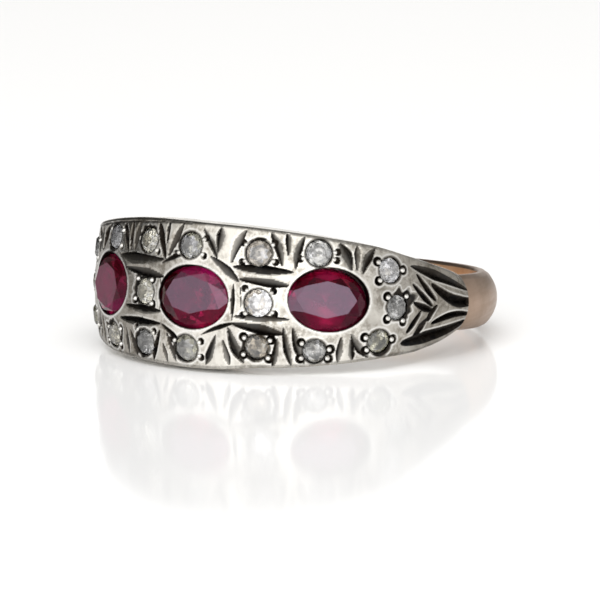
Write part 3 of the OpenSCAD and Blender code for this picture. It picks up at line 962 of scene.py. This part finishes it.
# Colours of the silver, each clean and with patina: where it is painted lit and where it is
# painted in shade
LIT_SILVER, LIT_PATINA = (0.80, 0.77, 0.71), (0.36, 0.33, 0.285)
SHADED_SILVER, SHADED_PATINA = (0.37, 0.345, 0.305), (0.165, 0.145, 0.118)
SMUDGE, HIGHLIGHT_SILVER = (0.17, 0.15, 0.125), (0.95, 0.94, 0.91)
OXIDE_AND_SHADE_BLACK, OXIDE_AND_SHADE_BROWN, OXIDE_AND_SHADE_SPECK = (0.005, 0.005, 0.006), (0.016, 0.012, 0.009), (0.034, 0.028, 0.023)
BEAD_BRIGHT, BEAD_SPOT = (0.90, 0.885, 0.85), (0.55, 0.53, 0.49)
# Share of the patina that the sides keep, strength of the smudges and the painted highlight
# lines, power that spreads the black of tarnish and painted shade, and how much rougher it is
SIDE_PATINA = 0.4
SMUDGE_SHARE = 0.6
HIGHLIGHT_SHARE = 0.75
OXIDE_AND_SHADE_POWER = 0.75
OXIDE_AND_SHADE_ROUGHNESS = 0.2


def silver_material():
    """Old silver, painted lit pale in the middle of its face and painted in shade towards the
    ends, with grey patina, painted highlight lines and black of tarnish and painted shade in the
    cuts.
    """
    sh = Shader("old_silver")
    black = sh.attribute("tarnish_and_shade_mask")
    lit_and_worn = sh.attribute("light_and_wear")
    painted_highlight = sh.attribute("painted_highlight")
    patches = sh.noise(scale=900, detail=4, roughness=0.6)
    specks = sh.noise(scale=4200, detail=3, roughness=0.6)
    patina = sh.math("MULTIPLY", sh.ramp(patches, 0.36, 0.64), sh.ramp(specks, 0.33, 0.63))
    patina = sh.math("MULTIPLY", patina, sh.ramp(lit_and_worn, 1.02, 1.1, 1.0, SIDE_PATINA))
    bright = sh.mix(patina, LIT_SILVER, LIT_PATINA)
    in_shade = sh.mix(patina, SHADED_SILVER, SHADED_PATINA)
    # Painted lit in the middle of the face and painted in shade towards its ends
    clean = sh.mix(lit_and_worn, in_shade, bright)
    # The smudges lie where the face is painted in shade, faintly where it is painted lit, and not
    # on the sides
    smudge = sh.noise(scale=420, detail=4, roughness=0.65)
    smudge = sh.ramp(smudge, 0.46, 0.66, 0.0, SMUDGE_SHARE)
    smudge = sh.math("MULTIPLY", smudge, sh.math("SUBTRACT", SIDE_LIGHT_AND_WEAR, lit_and_worn))
    clean = sh.mix(smudge, clean, SMUDGE)
    # Painted highlight lines along rims and cut edges
    clean = sh.mix(sh.math("MULTIPLY", painted_highlight, HIGHLIGHT_SHARE), clean, HIGHLIGHT_SILVER)
    # Black of tarnish, dirt and painted shade, from the mask cut into the face
    oxide_and_shade = sh.mix(sh.ramp(patches, 0.4, 0.6), OXIDE_AND_SHADE_BLACK, OXIDE_AND_SHADE_BROWN)
    oxide_and_shade = sh.mix(sh.ramp(specks, 0.4, 0.7), oxide_and_shade, OXIDE_AND_SHADE_SPECK)
    rougher = sh.math("MULTIPLY", black, OXIDE_AND_SHADE_ROUGHNESS)
    return sh.set(
        Base_Color=sh.mix(sh.math("POWER", black, OXIDE_AND_SHADE_POWER), clean, oxide_and_shade),
        Metallic=1.0,
        Roughness=sh.math("ADD", sh.ramp(patches, 0.3, 0.8, 0.2, 0.34), rougher),
        Normal=sh.bump(patches, 1.6e-5, sh.bump(specks, 4e-6)),
    )


def bead_material():
    """The tops of the beads are rubbed brighter than the face round them."""
    sh = Shader("rubbed_silver")
    spots = sh.noise(scale=5200, detail=3, roughness=0.6)
    return sh.set(
        Base_Color=sh.mix(sh.ramp(spots, 0.45, 0.7), BEAD_BRIGHT, BEAD_SPOT),
        Metallic=1.0,
        Roughness=sh.ramp(spots, 0.3, 0.7, 0.16, 0.3),
        Normal=sh.bump(spots, 4e-6),
    )


def gold_material(name, pale, deep):
    """Rose gold worn to a satin, with fine scratches round the shank."""
    sh = Shader(name)
    patches = sh.noise(scale=700, detail=4, roughness=0.6)
    scratches = sh.noise(scale=1400, detail=4, roughness=0.7, stretch=(0.25, 0.25, 3.0))
    return sh.set(
        Base_Color=sh.mix(sh.ramp(patches, 0.35, 0.7), pale, deep),
        Metallic=1.0,
        Roughness=sh.ramp(scratches, 0.3, 0.7, 0.3, 0.42),
        Normal=sh.bump(scratches, 3e-6, sh.bump(patches, 6e-6)),
    )


def ruby_material(name, pale, deep, ior, roughness, shine, gleam, through=0.85):
    """Deep red with a little silk, so that its body glows between clear and milky."""
    sh = Shader(name)
    cloud = sh.noise(scale=1100, detail=4, roughness=0.6)
    return sh.set(
        Base_Color=sh.mix(sh.ramp(cloud, 0.35, 0.7), pale, deep),
        Roughness=roughness,
        IOR=ior,
        Specular_IOR_Level=shine,
        Specular_Tint=gleam,
        Transmission_Weight=through,
    )


def diamond_material(name, light, dark):
    """An old cut diamond: part clear and part milky, with mottled flaws and small glints."""
    sh = Shader(name)
    cloud = sh.noise(scale=2600, detail=5, roughness=0.7)
    where = sh.tree.nodes.new("ShaderNodeTexCoord").outputs["Object"]
    chips = sh.node("ShaderNodeTexVoronoi", Vector=where, Scale=4600).outputs["Color"]
    flaws = sh.math("MULTIPLY_ADD", cloud, 0.5, sh.math("MULTIPLY", chips, 0.5))
    return sh.set(
        Base_Color=sh.mix(sh.ramp(flaws, 0.36, 0.62), dark, light),
        Roughness=0.05,
        IOR=2.1,
        Transmission_Weight=0.88,
        Normal=sh.bump(cloud, 1.4e-5),
    )


silver = silver_material()
rubbed = bead_material()
gold = gold_material("rose_gold", (0.42, 0.30, 0.225), (0.34, 0.24, 0.17))
# A brighter copy of the gold for the finger hole's wall: painted light inside the hole
gold_painted_light = gold_material("rose_gold_painted_light", (0.97, 0.72, 0.52), (0.86, 0.58, 0.38))
# Tones of the rubies' facets: pale and deep colour, refraction, roughness, strength and tint
# of the gloss, and how clear it is where that isn't the usual. All but the first are copies
# that paint the light and shade that single facets catch: a mauve painted reflection, painted
# shade, a plum red and an even red.
# Tints of the gloss: MAUVE colours the painted mauve reflection, WINE the gloss of the rest
MAUVE, WINE = (0.84, 0.80, 1.0), (0.42, 0.17, 0.25)
RUBY_TONES = (
    ("ruby", (0.2, 0.002, 0.032), (0.11, 0.002, 0.018), 1.7, 0.03, 0.14, WINE),
    ("ruby_painted_reflection", (0.36, 0.006, 0.1), (0.22, 0.004, 0.06), 2.1, 0.07, 0.45, MAUVE),
    ("ruby_painted_shade", (0.14, 0.001, 0.012), (0.07, 0.001, 0.006), 1.7, 0.03, 0.1, WINE),
    ("ruby_plum", (0.22, 0.004, 0.065), (0.1, 0.002, 0.03), 1.5, 0.04, 0.05, WINE, 0.56),
    ("ruby_even", (0.19, 0.005, 0.034), (0.1, 0.003, 0.018), 1.6, 0.04, 0.05, WINE, 0.62),
)
ruby_tones = [ruby_material(*tone) for tone in RUBY_TONES]
# Places in that list of the tones that single facets have, which paint their light and shade
PAINTED_REFLECTION, PAINTED_SHADE, PLUM, EVEN = 1, 2, 3, 4
TABLE_TONES = {"ruby_left": PLUM, "ruby_middle": PAINTED_REFLECTION, "ruby_right": PAINTED_REFLECTION}
# Facets of a ruby's crown that differ from the plain deep red, painted with the light and
# shade they catch, as the eighths that have them, counted anticlockwise from the right:
# stars, kites, first and second halves
RUBY_LOOKS = {
    "ruby_left": {PLUM: ("346", "3457", "37", "34"), PAINTED_SHADE: ("01", "12", "01", "0")},
    "ruby_middle": {
        PAINTED_REFLECTION: ("0127", "012", "01", "01"),
        EVEN: ("56", "6", "56", "56"),
        PAINTED_SHADE: ("3", "345", "34", "34"),
    },
    "ruby_right": {
        PAINTED_REFLECTION: ("34", "4", "4", "3"),
        PAINTED_SHADE: ("12", "13", "12", "12"),
        EVEN: ("56", "6", "56", "5"),
    },
}
# Tones of the diamonds: the light and the dark colour of their mottling. pearl paints
# glints and smoke paints shade on single facets
DIAMOND_TONES = {
    "pearl": ((0.9, 0.9, 0.92), (0.55, 0.55, 0.56)),
    "white": ((0.46, 0.46, 0.48), (0.13, 0.13, 0.137)),
    "grey": ((0.50, 0.495, 0.48), (0.06, 0.059, 0.057)),
    "olive": ((0.48, 0.46, 0.33), (0.08, 0.075, 0.045)),
    "brown": ((0.42, 0.36, 0.28), (0.07, 0.057, 0.04)),
    "cream": ((0.8, 0.77, 0.66), (0.36, 0.34, 0.27)),
    "smoke": ((0.10, 0.10, 0.10), (0.04, 0.04, 0.04)),
}
diamond_tones = {
    tone: diamond_material("diamond_" + tone, *colors) for tone, colors in DIAMOND_TONES.items()
}
# How each diamond looks: its middle, its rim, the eighths that have that rim, and the
# stars and halves that stand out in a third tone. These facet tones paint the light and
# shade that each facet catches, along with the stone's colour
DIAMOND_LOOKS = {
    "left_end": ("grey", "brown", "0123", "smoke", "25"),
    "left_end_upper": ("grey", "brown", "345", "smoke", "16"),
    "left_end_lower": ("olive", "brown", "345", "smoke", "04"),
    "left_ruby_upper": ("white", "grey", "345", "smoke", "36"),
    "left_ruby_lower": ("cream", "brown", "2345", "pearl", "16"),
    "left_gap": ("cream", "smoke", "34", "pearl", "0167"),
    "left_gap_upper": ("cream", "smoke", "234", "pearl", "0257"),
    "left_gap_lower": ("grey", "smoke", "346", "pearl", "26"),
    "middle_upper": ("white", "olive", "012", "grey", "35"),
    "middle_lower": ("grey", "olive", "0123", "white", "0346"),
    "right_gap": ("pearl", "brown", "2345", "white", "45"),
    "right_gap_upper": ("white", "brown", "01234567", "brown", "25"),
    "right_gap_lower": ("brown", "smoke", "23456", "grey", "03"),
    "right_ruby_upper": ("grey", "white", "04", "white", "146"),
    "right_ruby_lower": ("grey", "smoke", "235", "white", "14"),
    "right_end": ("grey", "smoke", "34", "white", "15"),
    "right_end_upper": ("pearl", "white", "456", "white", "25"),
    "right_end_lower": ("olive", "grey", "234", "white", "15"),
}


def crown_facets(stars, kites, first_halves, second_halves):
    """Numbers of a cut stone's crown facets, from the eighths of each kind as digits."""
    kinds = (stars, kites, first_halves, second_halves)
    facets = []
    for kind, eighths in enumerate(kinds):
        facets += [1 + EIGHTH_FACETS * int(eighth) + kind for eighth in eighths]
    return facets


head = head_mesh()
head.data.materials.append(silver)
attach(head, "root")
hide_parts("head")
beads = beads_mesh()
beads.data.materials.append(rubbed)
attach(beads, "root")
shank = shank_mesh()
shank.data.materials.append(gold)
shank.data.materials.append(gold_painted_light)
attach(shank, "root")
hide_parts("shank")
for name, a, z, _, table in RUBIES:
    place = on_face(a, z) @ Matrix.Translation((0, 0, -RUBY_SINK))
    stone = brilliant(name + "_cut", RUBY_L, RUBY_W, RUBY_DEPTHS, table, place)
    for tone in ruby_tones:
        stone.data.materials.append(tone)
    # The table and single crown facets take copies that paint their reflection and shade
    stone.data.polygons[0].material_index = TABLE_TONES[name]
    for tone, eighths in RUBY_LOOKS[name].items():
        for facet in crown_facets(*eighths):
            stone.data.polygons[facet].material_index = tone
    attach(stone, "root")
    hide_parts(name)
for key, a, z, size, _ in DIAMONDS:
    name = "diamond_" + key
    place = on_face(a, z) @ Matrix.Translation((0, 0, -DIAMOND_SINK))
    d = DIAMOND_D * size
    stone = brilliant(name + "_cut", d, d, DIAMOND_DEPTHS, DIAMOND_TABLE, place)
    middle, rim, rim_eighths, third, third_eighths = DIAMOND_LOOKS[key]
    for tone in (middle, rim, third):
        stone.data.materials.append(diamond_tones[tone])
    # Rim and third-tone facets take tones that paint their light and shade
    for facet in crown_facets("", rim_eighths, rim_eighths, rim_eighths):
        stone.data.polygons[facet].material_index = 1
    for facet in crown_facets(third_eighths, "", "", third_eighths):
        stone.data.polygons[facet].material_index = 2
    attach(stone, "root")
    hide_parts(name)

# Floor, light and camera, from here on in metres
FLOOR_CORNERS = ((-0.8, -0.8), (0.8, -0.8), (0.8, 1.2), (-0.8, 1.2))
floor_z = CAD_BOX[0][2]
floor = make_mesh("floor", [(x, y, floor_z) for x, y in FLOOR_CORNERS], [(0, 1, 2, 3)])
# How much of the floor's look is its faint gloss
GLOSS_SHARE = 0.28


def floor_material():
    """Pale and matt, with a faint soft reflection of what stands on it."""
    sh = Shader("pale_floor")
    sh.set(Base_Color=(0.93, 0.93, 0.93), Roughness=0.9, Specular_IOR_Level=0.0)
    gloss = sh.node("ShaderNodeBsdfAnisotropic", Color=(1, 1, 1, 1), Roughness=0.1)
    mix = sh.tree.nodes.new("ShaderNodeMixShader")
    mix.inputs[0].default_value = GLOSS_SHARE
    sh.put(mix, 1, sh.bsdf.outputs[0])
    sh.put(mix, 2, gloss.outputs[0])
    sh.put(sh.tree.nodes["Material Output"], "Surface", mix.outputs[0])
    return sh.mat


floor.data.materials.append(floor_material())

# Glows of the tent: direction, cosines of the angles to it where the glow starts and is full,
# and its strength outside and inside. The one above takes light away
FILL = ((1.0, -0.1, 0.0), -0.7, 0.5, 0.1, 0.72)
KEY = ((0.0, -1.0, 0.12), 0.26, 0.8, 0.0, 0.95)
BACK = ((-0.5, 0.85, 0.1), 0.93, 0.99, 0.0, 0.85)
ABOVE = ((0, 0, 1), 0.35, 0.9, 1.0, 0.5)
WALL = ((-0.5, 0.85, -0.1), 0.97, 0.99, 0.0, 0.2)
TENT_COLOR = (1, 0.99, 0.97, 1)


def studio_world():
    """A tent that is white in front, bright on the right, grey overhead and dark elsewhere,
    but for small bright patches straight behind the ring."""
    world = bpy.data.worlds.new("studio")
    bpy.context.scene.world = world
    world.use_nodes = True
    nodes, links = world.node_tree.nodes, world.node_tree.links
    where = nodes.new("ShaderNodeTexCoord").outputs["Generated"]

    def glow(toward, low, high, dim, bright):
        dot = nodes.new("ShaderNodeVectorMath")
        dot.operation = "DOT_PRODUCT"
        links.new(where, dot.inputs[0])
        dot.inputs[1].default_value = Vector(toward).normalized()
        ramp = nodes.new("ShaderNodeMapRange")
        ramp.interpolation_type = "SMOOTHSTEP"
        links.new(dot.outputs["Value"], ramp.inputs["Value"])
        for key, v in zip(("From Min", "From Max", "To Min", "To Max"), (low, high, dim, bright)):
            ramp.inputs[key].default_value = v
        return ramp.outputs[0]

    def join(operation, a, b):
        made = nodes.new("ShaderNodeMath")
        made.operation = operation
        links.new(a, made.inputs[0])
        links.new(b, made.inputs[1])
        return made.outputs[0]

    fill, key, behind, above, wall = (glow(*row) for row in (FILL, KEY, BACK, ABOVE, WALL))
    tent = join("MULTIPLY", join("ADD", join("ADD", fill, key), behind), above)
    links.new(join("ADD", tent, wall), nodes["Background"].inputs["Strength"])
    nodes["Background"].inputs["Color"].default_value = TENT_COLOR


studio_world()


def area_light(name, where, size, power):
    """A box light that faces the ring and isn't seen in the polished faces."""
    data = bpy.data.lights.new(name, "AREA")
    data.shape = "RECTANGLE"
    data.size, data.size_y = size
    data.energy = power
    lamp = bpy.data.objects.new(name, data)
    lamp.location = where
    lamp.rotation_euler = (-Vector(where)).to_track_quat("-Z", "Y").to_euler()
    lamp.visible_glossy = False
    bpy.context.scene.collection.objects.link(lamp)


# The top box lights the floor, and a low box in front reaches it under the ring's edge
area_light("top_box", where=(0.05, -0.15, 0.5), size=(0.6, 0.6), power=2.6)
area_light("front_box", where=(0.13, -0.26, 0.07), size=(0.5, 0.12), power=0.5)


def make_camera():
    """The photograph's camera, which looks at the middle of the finger hole."""
    az, el = math.radians(CAM_AZIMUTH), math.radians(CAM_ELEVATION)
    away = Vector((math.sin(az) * math.cos(el), -math.cos(az) * math.cos(el), math.sin(el)))
    right = Vector((math.cos(az), math.sin(az), 0))
    up = away.cross(right)
    data = bpy.data.cameras.new("camera")
    data.sensor_width = 36
    data.lens = PX_PER_MM * CAM_DISTANCE * data.sensor_width / PHOTO_PX
    data.clip_start = 0.01
    data.clip_end = 10
    cam = bpy.data.objects.new("camera", data)
    bpy.context.scene.collection.objects.link(cam)
    # Roll about the view, then shift so that the hole's centre falls on its photo pixel
    roll = math.radians(CAM_ROLL)
    rolled_right = right * math.cos(roll) + up * math.sin(roll)
    rolled_up = up * math.cos(roll) - right * math.sin(roll)
    basis = Matrix((rolled_right, rolled_up, away)).transposed().to_4x4()
    cam.matrix_world = Matrix.Translation(away * CAM_DISTANCE * MM) @ basis
    data.shift_x = (PHOTO_PX / 2 - CENTRE_PX[0]) / PHOTO_PX
    data.shift_y = (CENTRE_PX[1] - PHOTO_PX / 2) / PHOTO_PX
    bpy.context.scene.camera = cam


make_camera()
bpy.context.scene.view_settings.view_transform = "Standard"
